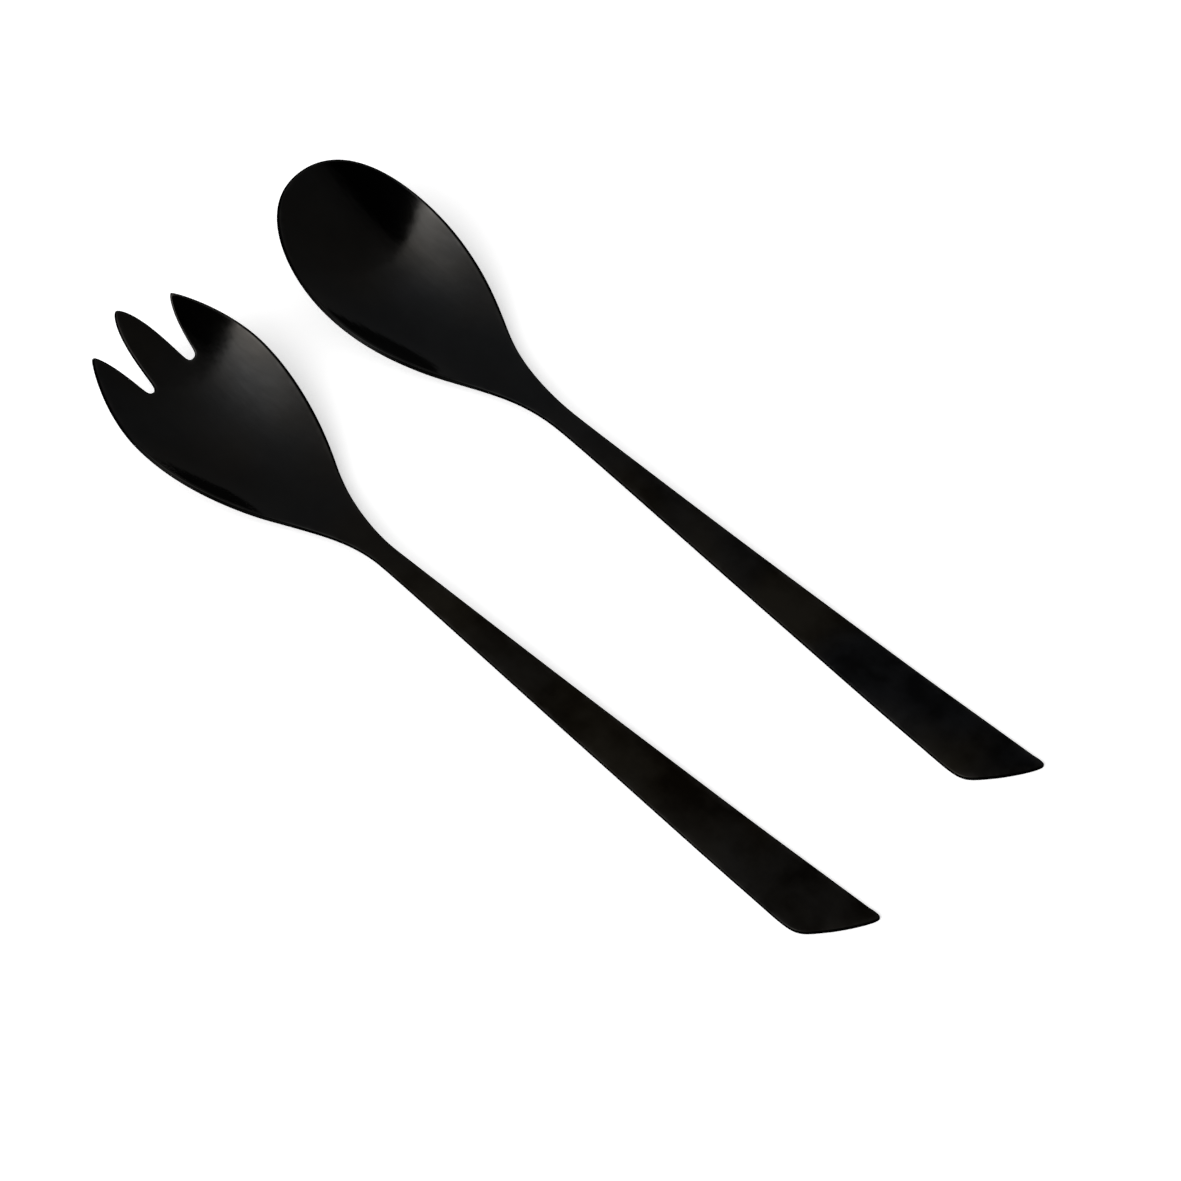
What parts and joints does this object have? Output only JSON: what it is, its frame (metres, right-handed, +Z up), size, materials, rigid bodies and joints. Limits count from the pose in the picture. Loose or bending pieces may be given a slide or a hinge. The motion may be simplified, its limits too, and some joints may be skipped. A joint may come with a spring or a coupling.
{
  "type": "salad servers",
  "caption": "Pair of long-handled salad servers in black-coated steel: a serving fork with pointed tines and an egg-shaped serving spoon, each with a slanted handle end.",
  "frame": {"origin": "centre of the pair's bounding box in plan, on the surface the pair lies on", "axes": "+X along the servers, from the handle ends to the bowls; +Y across, from the spoon to the fork; +Z up"},
  "size_m": [0.2524, 0.1044, 0.0241],
  "materials": {
    "fork_steel": "black coating, satin",
    "spoon_steel": "black coating, satin"
  },
  "bodies": {
    "fork": {"serving_fork": "fork_steel"},
    "spoon": {"serving_spoon": "spoon_steel"}
  },
  "joints": [
    {"name": "spoon_lift", "type": "slide", "parent": "fork", "child": "spoon", "axis": [0, 0, 1], "range_m": [0, 0.12]}
  ]
}
